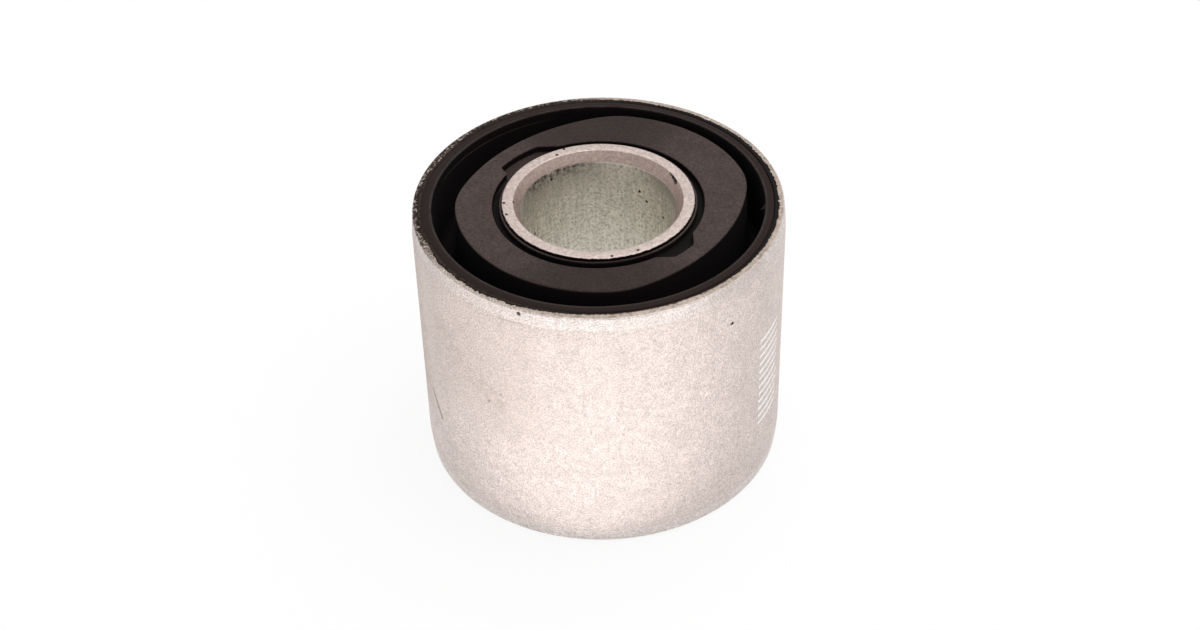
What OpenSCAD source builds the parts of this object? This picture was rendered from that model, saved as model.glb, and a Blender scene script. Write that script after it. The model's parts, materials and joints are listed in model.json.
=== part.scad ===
// Bonded control arm bushing: a steel inner tube, a moulded rubber body and a
// steel outer sleeve on one axis. Millimetres, +Z along the bore, origin at the
// centre of the bore at mid-length. The soft direction of the rubber is along X.

/* [Outer sleeve] */
// Outside diameter of the sleeve, which is pressed into the eye of an arm
sleeve_od = 38.5; // [36.5:0.1:42]
// Length of the sleeve
sleeve_length = 30; // [24:0.5:40]
// Wall thickness of the sleeve
sleeve_wall = 1.5; // [1.2:0.1:1.9]
// Axial length of the lead-in taper at each end
lead_length = 2.4; // [1.5:0.1:4]
// Radial drop of the lead-in taper
lead_drop = 0.2; // [0.1:0.05:0.35]
// Radius of the outer corner at each rim
rim_radius = 0.15; // [0.1:0.05:0.5]
// Flat left on the crest of each rim
rim_land = 0.75; // [0.2:0.05:0.8]
// Depth of the bevel inside each rim, which the rubber fills
rim_bevel_depth = 0.6; // [0.3:0.1:1.2]

/* [Inner tube] */
// Diameter of the bore that takes the bolt
bore_d = 16; // [12:0.1:16.5]
// Outside diameter of the tube
tube_od = 20; // [19:0.1:21]
// How far the tube stands out past the sleeve at each end
tube_proud = 0.2; // [0.1:0.1:3]
// Radial width of the bevel at each mouth of the bore
mouth_width = 0.75; // [0.3:0.05:0.9]
// Depth of the bevel at each mouth of the bore
mouth_depth = 1.15; // [0.5:0.05:2]
// Broken edge on the outside of each tube end
tube_edge = 0.2; // [0.1:0.05:0.3]

/* [Rubber voids] */
// Thickness of the rubber left on the sleeve's bore beside each void
lining = 0.63; // [0.5:0.01:0.9]
// Depth of the void at each end
void_depth = 7; // [4:0.5:10]
// Corner radius at the bottom of each void
void_corner = 1; // [0.5:0.1:1.1]
// Draft of the void's walls, in degrees
draft = 2; // [1:0.5:2.5]
// Width of the void at each flank of the core, along X
flank_gap = 3.25; // [2.7:0.05:3.5]
// Width of the void at the +Y end of the core
narrow_gap = 1.1; // [1:0.05:1.8]
// Width of the void at the -Y end of the core
wide_gap = 2.6; // [1.8:0.05:2.7]

/* [Rubber core] */
// Radius of the flanks, which are slightly crowned
flank_radius = 20.3; // [18:0.1:30]
// Turn of the core about the bore from the line through the notches, in degrees
core_turn = 2.5; // [-5:0.5:5]
// How far the core's end face lies below the sleeve's rim
face_drop = 0.15; // [0.1:0.05:0.6]
// Broken edge round the core's end face and the lip of the lining
rubber_edge = 0.2; // [0.1:0.05:0.3]
// Width of the recess round the tube
recess_width = 0.9; // [0.6:0.05:1.2]
// Depth of the recess round the tube
recess_depth = 0.8; // [0.4:0.05:1.5]
// How far the two notches reach out past the recess
notch_reach = 1.1; // [0.4:0.05:1.2]
// Width of the notch on the +X side, at its outer end
narrow_notch = 2.6; // [1.5:0.1:4]
// Width of the notch on the -X side, at its outer end
wide_notch = 4.8; // [3:0.1:6]
// Splay of each side of a notch, in degrees
notch_splay = 45; // [0:5:50]

/* [Hidden] */
$fn = 96;

sleeve_r = sleeve_od / 2;
sleeve_bore_r = sleeve_r - sleeve_wall;
sleeve_half = sleeve_length / 2;
rim_crest_r = sleeve_r - lead_drop - rim_radius;
rim_crest_z = sleeve_half - rim_radius;
rim_inner_r = rim_crest_r - rim_land;
rim_bevel_z = sleeve_half - rim_bevel_depth;

bore_r = bore_d / 2;
tube_r = tube_od / 2;
tube_half = sleeve_half + tube_proud;

lip_r = sleeve_bore_r - lining;
core_r = lip_r - (narrow_gap + wide_gap) / 2;
core_shift = (wide_gap - narrow_gap) / 2;
flank_distance = lip_r - flank_gap;
face_z = sleeve_half - face_drop;
floor_z = sleeve_half - void_depth;
recess_r = tube_r + recess_width;
notch_r = recess_r + notch_reach;
// How far a cut runs past the surface that it opens, so that it leaves no skin
over = 1;

// Points of an outline's upper half, followed by their mirror images below
function both_ends(upper) =
    concat(upper, [for (i = [len(upper) - 1 : -1 : 0]) [upper[i].x, -upper[i].y]]);

// The same feature on the upper and the lower end
module each_end() {
    children();
    mirror([0, 0, 1]) children();
}

// What a round of radius r takes off a square corner, seen from the round's centre
module corner_waste(r) {
    difference() {
        square(r + over);
        circle(r);
    }
}

// Section of the sleeve's wall: inner bevel, rim, lead-in taper, press land
module sleeve_section() {
    difference() {
        polygon(both_ends([
            [sleeve_bore_r, rim_bevel_z],
            [rim_inner_r, sleeve_half],
            [rim_crest_r + rim_radius, sleeve_half],
            [rim_crest_r + rim_radius, rim_crest_z],
            [sleeve_r, sleeve_half - lead_length],
        ]));
        translate([rim_crest_r, rim_crest_z]) corner_waste(rim_radius);
        translate([rim_crest_r, -rim_crest_z]) mirror([0, 1]) corner_waste(rim_radius);
    }
}

module outer_sleeve() {
    color("gainsboro") rotate_extrude() sleeve_section();
}

// Section of the tube's wall: bevelled mouth, flat end, broken outer edge
module tube_section() {
    polygon(both_ends([
        [bore_r, tube_half - mouth_depth],
        [bore_r + mouth_width, tube_half],
        [tube_r - tube_edge, tube_half],
        [tube_r, tube_half - tube_edge],
    ]));
}

module inner_tube() {
    color("silver") rotate_extrude() tube_section();
}

// Section of the rubber before its voids: bonded to the tube and the sleeve, with
// a lip at each end that fills the bevel inside the rim
module rubber_section() {
    polygon(both_ends([
        [tube_r, sleeve_half],
        [rim_inner_r, sleeve_half],
        [sleeve_bore_r, rim_bevel_z],
    ]));
}

// Section of the pocket inside the lining: drafted wall, round corner at the
// floor, broken edge at the lip
module pocket_section() {
    inside_core_r = flank_distance - over;
    corner_z = floor_z + void_corner;
    lip_z = sleeve_half - rubber_edge;
    floor_r = lip_r - tan(draft) * (lip_z - corner_z);
    difference() {
        polygon([
            [inside_core_r, floor_z],
            [floor_r, floor_z],
            [floor_r, corner_z],
            [lip_r, lip_z],
            [lip_r + rubber_edge, sleeve_half],
            [lip_r + rubber_edge, sleeve_half + over],
            [inside_core_r, sleeve_half + over],
        ]);
        translate([floor_r - void_corner, corner_z]) mirror([0, 1]) corner_waste(void_corner);
    }
}

// A slice of the core from z0 to z1, its outline grown by grow0 at the bottom and
// by grow1 at the top: two round ends cut by two crowned flanks
module core_slice(z0, z1, grow0, grow1) {
    flank_centre = flank_radius - flank_distance;
    height = z1 - z0;
    translate([0, 0, z0])
        intersection() {
            translate([0, core_shift, 0])
                cylinder(h = height, r1 = core_r + grow0, r2 = core_r + grow1);
            intersection_for (side = [-1, 1])
                translate([side * flank_centre, 0, 0])
                    cylinder(h = height, r1 = flank_radius + grow0, r2 = flank_radius + grow1);
        }
}

// The core that stands in the void, turned a little: splayed foot, drafted wall,
// broken top edge
module core() {
    foot_z = floor_z + void_corner;
    edge_z = face_z - rubber_edge;
    wall_grow = tan(draft) * (edge_z - foot_z);
    foot_grow = wall_grow + void_corner + over;
    rotate(core_turn) {
        core_slice(floor_z - over, foot_z, foot_grow, wall_grow);
        core_slice(foot_z, edge_z, wall_grow, 0);
        core_slice(edge_z, face_z, 0, -rubber_edge);
    }
}

// The space that is left open at one end, round the core
module void_cut() {
    difference() {
        union() {
            rotate_extrude() pocket_section();
            translate([0, 0, face_z]) cylinder(h = face_drop + over, r = lip_r);
        }
        core();
    }
}

// Outline of a notch along +X, which widens towards the tube
module notch_outline(width) {
    inner_x = 0.9 * tube_r;
    outer_half = width / 2;
    inner_half = outer_half + tan(notch_splay) * (notch_r - inner_x);
    intersection() {
        circle(notch_r);
        polygon([
            [inner_x, -inner_half],
            [notch_r, -outer_half],
            [notch_r, outer_half],
            [inner_x, inner_half],
        ]);
    }
}

// The step round the tube, with a notch on each side
module recess_cut() {
    translate([0, 0, face_z - recess_depth])
        linear_extrude(recess_depth + face_drop + over) {
            circle(recess_r);
            notch_outline(narrow_notch);
            mirror([1, 0]) notch_outline(wide_notch);
        }
}

module rubber_body() {
    color([0.18, 0.16, 0.15])
        difference() {
            rotate_extrude() rubber_section();
            each_end() {
                void_cut();
                recess_cut();
            }
        }
}

outer_sleeve();
rubber_body();
inner_tube();
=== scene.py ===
"""Looks of a bonded control arm bushing: plated sleeve, moulded rubber and plated tube on a pale floor."""

import json
import math

import bmesh
import bpy
from mathutils import Matrix, Quaternion, Vector, noise


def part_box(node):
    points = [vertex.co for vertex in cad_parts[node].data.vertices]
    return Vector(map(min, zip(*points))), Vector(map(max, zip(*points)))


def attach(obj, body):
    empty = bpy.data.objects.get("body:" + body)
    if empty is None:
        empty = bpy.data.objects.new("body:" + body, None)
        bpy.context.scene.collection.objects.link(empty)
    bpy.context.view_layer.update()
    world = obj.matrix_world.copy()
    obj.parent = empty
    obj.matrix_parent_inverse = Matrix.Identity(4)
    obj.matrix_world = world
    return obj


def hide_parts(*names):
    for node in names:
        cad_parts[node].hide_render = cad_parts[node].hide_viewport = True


bl_info = {
    "name": "Control Arm Bushing",
    "version": (1, 0, 0),
    "blender": (4, 5, 0),
    "location": "3D View > Sidebar > Bushing",
    "description": "Models a bonded rubber bushing and stages it on a pale floor",
    "category": "Add Mesh",
}

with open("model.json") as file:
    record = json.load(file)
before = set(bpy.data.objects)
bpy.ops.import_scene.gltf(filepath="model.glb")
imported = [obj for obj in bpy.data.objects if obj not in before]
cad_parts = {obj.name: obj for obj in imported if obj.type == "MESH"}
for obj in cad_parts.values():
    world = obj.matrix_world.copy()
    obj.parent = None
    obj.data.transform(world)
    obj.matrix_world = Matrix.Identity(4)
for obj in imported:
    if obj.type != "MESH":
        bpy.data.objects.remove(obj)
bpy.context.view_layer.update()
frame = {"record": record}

MM = 0.001
# Points closer than this are one point
WELD = 0.001 * MM
# Edges that turn by less than this are shaded smooth
SMOOTH_ANGLE = math.radians(35)
# Lean of the rubber's walls in the voids
DRAFT = math.radians(2)

SLEEVE_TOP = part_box("outer_sleeve")[1]
TUBE_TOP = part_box("inner_tube")[1]
MOUNTS = {mount["name"]: mount["dims"] for mount in frame["record"]["mounts"]}
BORE = MOUNTS["bolt_bore"]
LAND = MOUNTS["sleeve_press_land"]


def length(name, description, default):
    """A size in metres that a user may change."""
    return bpy.props.FloatProperty(
        name=name, description=description, default=default, min=0, unit="LENGTH", precision=5)


def colour(name, description, default):
    """A colour, in linear red, green and blue."""
    return bpy.props.FloatVectorProperty(
        name=name, description=description, default=default, subtype="COLOR", min=0, max=1)


def angle(name, description, degrees):
    """An angle, given in degrees; a direction about the bore counts from +X towards +Y."""
    return bpy.props.FloatProperty(
        name=name, description=description, default=math.radians(degrees), subtype="ANGLE")


class BushingSizes(bpy.types.PropertyGroup):
    """Sizes of the three pieces; those that the frame gives are taken from it"""

    sleeve_radius: length("Sleeve radius", "Outside radius of the press land", LAND["r_mm"] * MM)
    sleeve_half: length("Sleeve half length", "From the middle to a rim", SLEEVE_TOP.z)
    sleeve_wall: length("Sleeve wall", "Thickness of the sleeve's wall", 1.5 * MM)
    land_half: length("Press land", "From the middle to where the taper starts", LAND["length_mm"] / 2 * MM)
    lead_drop: length("Lead-in drop", "How far the lead-in taper drops", 0.2 * MM)
    lead_break: length("Lead-in break", "From a rim to where the taper turns steeper", 1.5 * MM)
    break_drop: length("Break drop", "How far the taper has dropped at that break", 0.05 * MM)
    lead_round: length("Lead-in round", "Round where the taper turns steeper", 0.4 * MM)
    land_round: length("Land round", "Round where the press land ends", 0.8 * MM)
    rim_radius: length("Rim corner", "Radius of the outer corner at a rim", 0.15 * MM)
    rim_land: length("Rim crest", "Flat left on the crest of a rim", 0.75 * MM)
    rim_bevel: length("Rim bevel", "Depth of the bevel inside a rim", 0.6 * MM)
    tube_radius: length("Tube radius", "Outside radius of the inner tube", TUBE_TOP.x)
    tube_half: length("Tube half length", "From the middle to the tube's end", TUBE_TOP.z)
    bore_radius: length("Bore radius", "Radius of the bolt's bore", BORE["r_mm"] * MM)
    bore_half: length("Bore half length", "From the middle to a bevelled mouth", BORE["length_mm"] / 2 * MM)
    mouth_width: length("Mouth width", "Radial width of the bevel at a mouth", 0.75 * MM)
    mouth_round: length("Mouth round", "Round where a mouth meets the tube's end", 0.08 * MM)
    bore_round: length("Bore round", "Round where a mouth meets the bore", 0.1 * MM)
    tube_edge: length("Tube edge", "Round on the outside of a tube end", 0.2 * MM)
    lining: length("Lining", "Rubber left on the sleeve beside a void", 0.63 * MM)
    void_depth: length("Void depth", "Depth of the void at an end", 7 * MM)
    void_corner: length("Void corner", "Largest corner radius at a void's floor", 1 * MM)
    flank_gap: length("Flank gap", "Width of the void at a flank of the core", 3.25 * MM)
    narrow_gap: length("Narrow gap", "Width of the void at the core's +Y end", 1.1 * MM)
    wide_gap: length("Wide gap", "Width of the void at the core's -Y end", 2.6 * MM)
    flank_radius: length("Flank radius", "Crown of the core's flanks", 20.3 * MM)
    core_turn: angle("Core turn", "Turn of the core from the line through the notches", 2.5)
    core_corner: length("Core corner", "How far the core's four corners are rubbed round", 0.45 * MM)
    face_drop: length("Face drop", "Core's end face below the rim", 0.15 * MM)
    rubber_edge: length("Rubber edge", "Round on the core's edges", 0.2 * MM)
    lip_edge: length("Lip edge", "Round on the lip's inner edge", 0.08 * MM)
    lip_lift: length("Lip lift", "Lip above the rim's crest", 0.05 * MM)
    recess_width: length("Recess width", "Width of the step round the tube", 0.9 * MM)
    recess_depth: length("Recess depth", "Depth of the step round the tube", 0.8 * MM)
    recess_edge: length("Recess edge", "Round on the edges of the step and the notches", 0.12 * MM)
    notch_reach: length("Notch reach", "How far the notches reach past the step", 1.1 * MM)
    narrow_notch: length("Narrow notch", "Outer width of the notch on the +X side", 2.6 * MM)
    wide_notch: length("Wide notch", "Outer width of the notch on the -X side", 4.8 * MM)
    notch_splay: angle("Notch splay", "Splay of the notches' sides", 45)
    steep_splay: angle("Steep splay", "Splay of the wide notch's -Y side, which is steeper", 18)
    notch_corner: length("Notch corner", "How far the notches' corners are rubbed round", 0.12 * MM)
    tube_skin: length("Tube skin", "Rubber left on the tube's wall in the step", 0.16 * MM)
    skin_drop: length("Skin drop", "Top of that rubber below the tube's end", 0.3 * MM)
    lip_groove: length("Lip groove", "Width of the groove between the lip and a rim", 0.17 * MM)
    groove_depth: length("Groove depth", "Depth of that groove", 0.14 * MM)
    flash_reach: length("Flash reach", "Rubber flash over a rim on the side with the most", 0.5 * MM)
    thin_flash: length("Thin flash", "Rubber flash over a rim on the other side", 0.4 * MM)
    flash_skin: length("Flash skin", "Thickness of that flash", 0.04 * MM)
    tag_reach: length("Tag reach", "Length of the torn tag on the lip", 0.6 * MM)
    tag_spread: angle("Tag spread", "Half width of that tag, about the bore", 0.6)
    tag_lean: angle("Tag lean", "How far about the bore that tag's tip leans", 0.9)
    stroke_depth: length("Stroke depth", "Depth of the stamped strokes", 0.07 * MM)
    stroke_width: length("Stroke width", "Width of a stamped stroke at the surface", 0.42 * MM)
    stroke_pitch: length("Stroke pitch", "Distance between stamped strokes", 1.02 * MM)
    stroke_top: length("Stroke top", "Height of the uppermost stroke", 4.2 * MM)
    stroke_sweep: angle("Stroke sweep", "Length of a stamped stroke, about the bore", 14.5)
    stroke_count: bpy.props.IntProperty(
        name="Stroke count", description="Number of stamped strokes", default=12, min=1)
    pit_radius: length("Pit radius", "Radius of the pits in the plating", 0.2 * MM)

    @property
    def crest_end(self):
        """Radius at which a rim's crest rolls over into its outer corner."""
        return self.sleeve_radius - self.lead_drop - self.rim_radius

    @property
    def crest_start(self):
        """Radius at which a rim's crest meets the bevel inside it."""
        return self.crest_end - self.rim_land

    @property
    def bond_radius(self):
        """Radius of the sleeve's bore, to which the rubber is bonded."""
        return self.sleeve_radius - self.sleeve_wall

    @property
    def lip_radius(self):
        """Radius of the lip's inner edge."""
        return self.bond_radius - self.lining

    @property
    def face_height(self):
        """Height of the core's end face."""
        return self.sleeve_half - self.face_drop

    @property
    def recess_radius(self):
        """Radius of the step round the tube."""
        return self.tube_radius + self.recess_width


class BushingColours(bpy.types.PropertyGroup):
    """Colours of the finishes and the lie of what varies round the part"""

    zinc: colour("Zinc", "Matt plating of the sleeve", (0.69, 0.603, 0.567))
    # Lighter than the zinc: a painted highlight for the bright band on each lead-in below a rim
    clean: colour("Clean zinc", "Cleaner plating on the lead-ins", (0.705, 0.63, 0.6))
    smear: colour("Smear", "Brown film wiped along the sleeve", (0.4, 0.33, 0.29))
    # Browner and darker than the zinc: partly the rims' own browner plating, partly painted shade that keeps
    # the crests from catching the light
    rim: colour("Rim", "Browner plating on the sleeve's rims", (0.42, 0.345, 0.295))
    fresh: colour("Fresh metal", "Metal where a stroke was stamped", (0.95, 0.92, 0.9))
    # Partly brown staining, partly painted shade along the joint where the rubber meets a rim
    stain_and_joint_shade: colour("Stain", "Brown stain where the rubber meets a rim", (0.06, 0.036, 0.028))
    fleck: colour("Fleck", "Flecks of rubber on the outside of a rim", (0.035, 0.02, 0.015))
    grime: colour("Grime", "Dirt in pits and corners", (0.022, 0.018, 0.013))
    tube_end: colour("Tube end", "Plating on the tube's ends", (0.56, 0.472, 0.432))
    mouth: colour("Mouth", "Browner metal on the bevels of the bore", (0.5, 0.39, 0.345))
    bore: colour("Bore", "Greener plating in the bore", (0.93, 0.9, 0.83))
    # With the bore colour this paints light: the bore lighter deeper in, darker towards the mouths
    bore_shaded_near_mouths: colour("Dull bore", "The same plating, duller towards the mouths", (0.8, 0.765, 0.7))
    mouth_dirt: colour("Bore film", "Brown film in the bore below its mouth", (0.36, 0.31, 0.27))
    # Darker than the faces' rubber: painted shade in the voids, the step round the tube and the narrow notch;
    # the same colour paints shade in the lip's groove, at the flash's thin edge and on the tube's outer edges
    rubber: colour("Rubber", "Moulded rubber in the voids", (0.006, 0.004, 0.004))
    lip: colour("Lip", "Rubber of the lip inside the sleeve's rim", (0.018, 0.0098, 0.008))
    flash: colour("Flash", "Thin brown rubber over the rims", (0.038, 0.023, 0.017))
    face: colour("Face", "Rubber on the core's end faces", (0.027, 0.018, 0.0165))
    bloom: colour("Bloom", "Dull brown bloom on those faces", (0.067, 0.0475, 0.0425))
    # Lighter than the lip: partly worn rubber, partly a painted highlight along the lip's inner edge
    rubbed_and_highlit: colour("Rubbed edge", "Rubber where the lip's edge is rubbed", (0.031, 0.0245, 0.0225))
    floor: colour("Floor", "Pale floor", (0.9, 0.9, 0.9))
    smeared_side: angle("Smeared side", "Middle of the sleeve's smeared side", 268)
    flash_side: angle("Flash side", "Middle of the side with the most flash", 213.5)
    thin_side: angle("Thin flash side", "Middle of the thin flash on the other side", 66)
    bloom_axis: angle("Bloom axis", "Line on which the bloom is strongest", 45)
    tag_at: angle("Tag", "Place of the torn tag on the lip", 40)
    strokes_at: angle("Strokes", "Middle of the stamped strokes", 19.3)


# Modelling helpers

def deselect():
    """Leave everything unselected, so that an operator acts on one piece."""
    if bpy.context.mode != "OBJECT":
        bpy.ops.object.mode_set(mode="OBJECT")
    bpy.ops.object.select_all(action="DESELECT")


def select_only(piece):
    deselect()
    piece.select_set(True)
    bpy.context.view_layer.objects.active = piece


def rounded(corners, segments=5):
    """Points of a closed outline of (radius, height, corner radius), with each corner as an arc."""
    points = []
    for index, (x, y, corner) in enumerate(corners):
        here = Vector((x, y))
        to_last = (Vector(corners[index - 1][:2]) - here).normalized()
        to_next = (Vector(corners[(index + 1) % len(corners)][:2]) - here).normalized()
        if corner == 0:
            points.append((x, y))
            continue
        half = to_last.angle(to_next) / 2
        start = to_last * (corner / math.tan(half))
        centre = (to_last + to_next).normalized() * (corner / math.sin(half))
        sweep = (start - centre).angle_signed(to_next * start.length - centre)
        for step in range(segments + 1):
            turn = Matrix.Rotation(-sweep * step / segments, 2)
            points.append(tuple(here + centre + turn @ (start - centre)))
    return points


def both_ends(upper):
    """An outline's upper corners, followed by their mirror images below."""
    return upper + [(x, -y, corner) for x, y, corner in reversed(upper)]


def spun(name, outline, steps, start=0.0, sweep=math.tau):
    """Draw a closed outline of (radius, height) one extrusion at a time, and spin it about the bore."""
    deselect()
    bpy.ops.mesh.primitive_plane_add(size=MM, enter_editmode=True)
    piece = bpy.context.object
    piece.name = name
    bpy.ops.mesh.merge(type="CENTER")
    across = Vector((math.cos(start), math.sin(start), 0))
    up = Vector((0, 0, 1))
    spots = [across * radius + up * height for radius, height in outline]
    bpy.ops.transform.translate(value=spots[0])
    for here, there in zip(spots, spots[1:] + spots[:1]):
        bpy.ops.mesh.extrude_vertices_move(TRANSFORM_OT_translate={"value": there - here})
    bpy.ops.mesh.select_all(action="SELECT")
    bpy.ops.mesh.remove_doubles(threshold=WELD)
    bpy.ops.mesh.spin(steps=steps, angle=sweep, center=(0, 0, 0), axis=up)
    tidy_shell()
    return piece


def tidy_shell():
    """Merge doubles, close open ends, turn the faces outwards and leave edit mode."""
    bpy.ops.mesh.select_all(action="SELECT")
    bpy.ops.mesh.remove_doubles(threshold=WELD)
    bpy.ops.mesh.select_all(action="DESELECT")
    bpy.ops.mesh.select_non_manifold()
    bpy.ops.mesh.fill_holes(sides=0)
    bpy.ops.mesh.select_all(action="SELECT")
    bpy.ops.mesh.normals_make_consistent(inside=False)
    bpy.ops.object.mode_set(mode="OBJECT")


def place_ring(piece, row):
    """Put the selected ring of points where the row says, each at its own angle."""
    mesh = bmesh.from_edit_mesh(piece.data)
    for point in mesh.verts:
        if point.select:
            turn = math.atan2(point.co.y, point.co.x)
            radius, height = row(turn)
            point.co = (radius * math.cos(turn), radius * math.sin(turn), height)
    bmesh.update_edit_mesh(piece.data)


def ring(radius, height):
    """A row of points at a radius and a height, each a number or a function of the angle."""
    def row(turn):
        return (radius(turn) if callable(radius) else radius, height(turn) if callable(height) else height)
    return row


def ringed(name, rows, steps):
    """A wall about the bore, extruded ring by ring; each row gives (radius, height) at an angle."""
    deselect()
    bpy.ops.mesh.primitive_circle_add(vertices=steps, radius=rows[0](0)[0], enter_editmode=True)
    piece = bpy.context.object
    piece.name = name
    place_ring(piece, rows[0])
    for row in rows[1:]:
        bpy.ops.mesh.extrude_edges_move()
        place_ring(piece, row)
    bpy.ops.object.mode_set(mode="OBJECT")
    return piece


def apply_modifier(piece, kind, **settings):
    select_only(piece)
    modifier = piece.modifiers.new(kind.title(), kind)
    for key, value in settings.items():
        setattr(modifier, key, value)
    bpy.ops.object.modifier_apply(modifier=modifier.name)


def cut(piece, cutter):
    """Take the cutter's shape out of the piece and delete the cutter."""
    apply_modifier(piece, "BOOLEAN", operation="DIFFERENCE", solver="EXACT", object=cutter)
    select_only(cutter)
    bpy.ops.object.delete()


def pit_cutter(place, radius):
    """A small ball at a place on the surface, which leaves a round pit."""
    deselect()
    bpy.ops.mesh.primitive_ico_sphere_add(subdivisions=3, radius=radius, location=place)
    ball = bpy.context.object
    bpy.ops.object.transform_apply(location=True)
    return ball


def finish_piece(piece, node, material):
    """Shade a piece, give it its material and let it stand for a node of the frame."""
    select_only(piece)
    bpy.ops.object.shade_smooth_by_angle(angle=SMOOTH_ANGLE)
    piece.data.materials.clear()
    piece.data.materials.append(material)
    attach(piece, "root")
    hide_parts(node)


# Material helpers

# Most values of a noise lie between these two
NOISE_LOW = 0.3
NOISE_HIGH = 0.7


class Shader:
    """A material's nodes, added by short calls that return output sockets."""

    def __init__(self, name):
        self.material = bpy.data.materials.new(name)
        self.material.use_nodes = True
        self.nodes = self.material.node_tree.nodes
        self.links = self.material.node_tree.links
        self.surface = self.nodes["Principled BSDF"]
        self.place = self.add("ShaderNodeTexCoord").outputs["Object"]
        parts = self.add("ShaderNodeSeparateXYZ", {"Vector": self.place}).outputs
        self.x, self.y, self.z = parts["X"], parts["Y"], parts["Z"]
        flat = self.math("ADD", self.math("POWER", self.x, 2), self.math("POWER", self.y, 2))
        self.radius = self.math("SQRT", flat)
        self.height = self.math("ABSOLUTE", self.z)

    def add(self, kind, inputs=None, **settings):
        node = self.nodes.new(kind)
        for key, value in settings.items():
            setattr(node, key, value)
        for key, value in (inputs or {}).items():
            self.put(node.inputs[key], value)
        return node

    def put(self, socket, value):
        """Link a socket, or set it where the value is the same all over."""
        if isinstance(value, bpy.types.NodeSocket):
            self.links.new(value, socket)
        elif socket.type == "RGBA" and len(value) == 3:
            socket.default_value = (*value, 1)
        else:
            socket.default_value = value

    def set(self, **inputs):
        for key, value in inputs.items():
            self.put(self.surface.inputs[key.replace("_", " ")], value)

    def math(self, operation, first, second=0.0, clamp=False):
        node = self.add("ShaderNodeMath", {0: first, 1: second}, operation=operation, use_clamp=clamp)
        return node.outputs[0]

    def vector(self, operation, first, second):
        node = self.add("ShaderNodeVectorMath", {0: first, 1: second}, operation=operation)
        return next(socket for socket in node.outputs if socket.enabled)

    def span(self, value, low, high, to_low=0.0, to_high=1.0):
        """Map a stretch of values smoothly on to another."""
        inputs = {"Value": value, "From Min": low, "From Max": high, "To Min": to_low, "To Max": to_high}
        return self.add("ShaderNodeMapRange", inputs, interpolation_type="SMOOTHSTEP").outputs["Result"]

    def joined(self, operation, values):
        """One value from several, two at a time."""
        result = values[0]
        for value in values[1:]:
            result = self.math(operation, result, value)
        return result

    def all_of(self, *masks, strength=1):
        """Where all the masks hold, at a strength."""
        return self.joined("MULTIPLY", masks if strength == 1 else (*masks, strength))

    def any_of(self, *masks):
        """Where any of the masks holds."""
        return self.joined("MAXIMUM", masks)

    def off(self, value, level):
        """How far a value is from a level, above or below it."""
        return self.math("ABSOLUTE", self.math("SUBTRACT", value, level))

    def wandering(self, value, grain, reach):
        """A value that wanders with a noise, over a reach in all."""
        return self.math("ADD", value, self.math("MULTIPLY", self.math("SUBTRACT", grain, 0.5), reach))

    def noise(self, grain, detail=3.0, roughness=0.55, stretch=(1, 1, 1)):
        """Noise whose features are about as large as the grain, drawn out along an axis by stretch."""
        scale = [1 / (grain * factor) for factor in stretch]
        vector = self.add("ShaderNodeMapping", {"Vector": self.place, "Scale": scale}).outputs["Vector"]
        inputs = {"Vector": vector, "Scale": 1.0, "Detail": detail, "Roughness": roughness}
        return self.add("ShaderNodeTexNoise", inputs).outputs["Fac"]

    def towards(self, direction, inner, outer):
        """1 on the side that faces a direction in radians, fading out between two angles in degrees."""
        along_x = self.math("MULTIPLY", self.x, math.cos(direction))
        along_y = self.math("MULTIPLY", self.y, math.sin(direction))
        facing = self.math("DIVIDE", self.math("ADD", along_x, along_y), self.radius)
        return self.span(facing, math.cos(math.radians(outer)), math.cos(math.radians(inner)))

    def ragged_within(self, away, size):
        """1 where a distance is less than about a size, with a ragged edge."""
        wobble = self.math("ADD", self.noise(size, detail=2), 0.5)
        return self.span(self.math("MULTIPLY", away, wobble), size, 0.6 * size)

    def spot(self, place, size):
        """1 within a ragged spot round a point."""
        return self.ragged_within(self.vector("DISTANCE", self.place, place), size)

    def from_line(self, start, end):
        """Distance from the line between two points."""
        along = Vector(end) - Vector(start)
        here = self.vector("SUBTRACT", self.place, start)
        share = self.math("DIVIDE", self.vector("DOT_PRODUCT", here, along), along.length_squared, clamp=True)
        nearest = self.add("ShaderNodeVectorMath", {0: along, "Scale": share}, operation="SCALE")
        return self.vector("DISTANCE", here, nearest.outputs["Vector"])

    def mix(self, factor, first, second, blend="MIX"):
        node = self.add("ShaderNodeMix", data_type="RGBA", blend_type=blend, clamp_factor=True)
        for key, value in (("Factor", factor), ("A", first), ("B", second)):
            socket = next(s for s in node.inputs if s.name == key and s.enabled)
            self.put(socket, value)
        return next(s for s in node.outputs if s.enabled)

    def shade(self, first, amount):
        """Multiply a colour by a number."""
        grey = self.add("ShaderNodeCombineColor", {"Red": amount, "Green": amount, "Blue": amount})
        return self.mix(1.0, first, grey.outputs["Color"], "MULTIPLY")

    def varied(self, first, value, at_low, at_high, low=NOISE_LOW, high=NOISE_HIGH):
        """Shade a colour from one level to another, as a value goes from low to high."""
        return self.shade(first, self.span(value, low, high, at_low, at_high))

    def bump(self, height, distance, strength):
        inputs = {"Height": height, "Distance": distance, "Strength": strength}
        self.set(Normal=self.add("ShaderNodeBump", inputs).outputs["Normal"])


def on_wall(radius, turn, height):
    """A point at a radius, an angle in degrees about the bore and a height."""
    return (radius * math.cos(math.radians(turn)), radius * math.sin(math.radians(turn)), height)


# Finishes

# Pits in the sleeve's plating, as (degrees about the bore, height, drop of the taper there)
SLEEVE_PITS = ((290.3, 14.56 * MM, 0.13 * MM), (357.0, 10.1 * MM, 0))
# Specks of dirt on the sleeve, as (degrees about the bore, height)
SLEEVE_SPECKS = ((278.0, 1.7 * MM), (282.7, 3.2 * MM))
SLEEVE_SPECK_SIZE = 0.24 * MM
SLEEVE_SPECK_STRENGTH = 0.35
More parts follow.
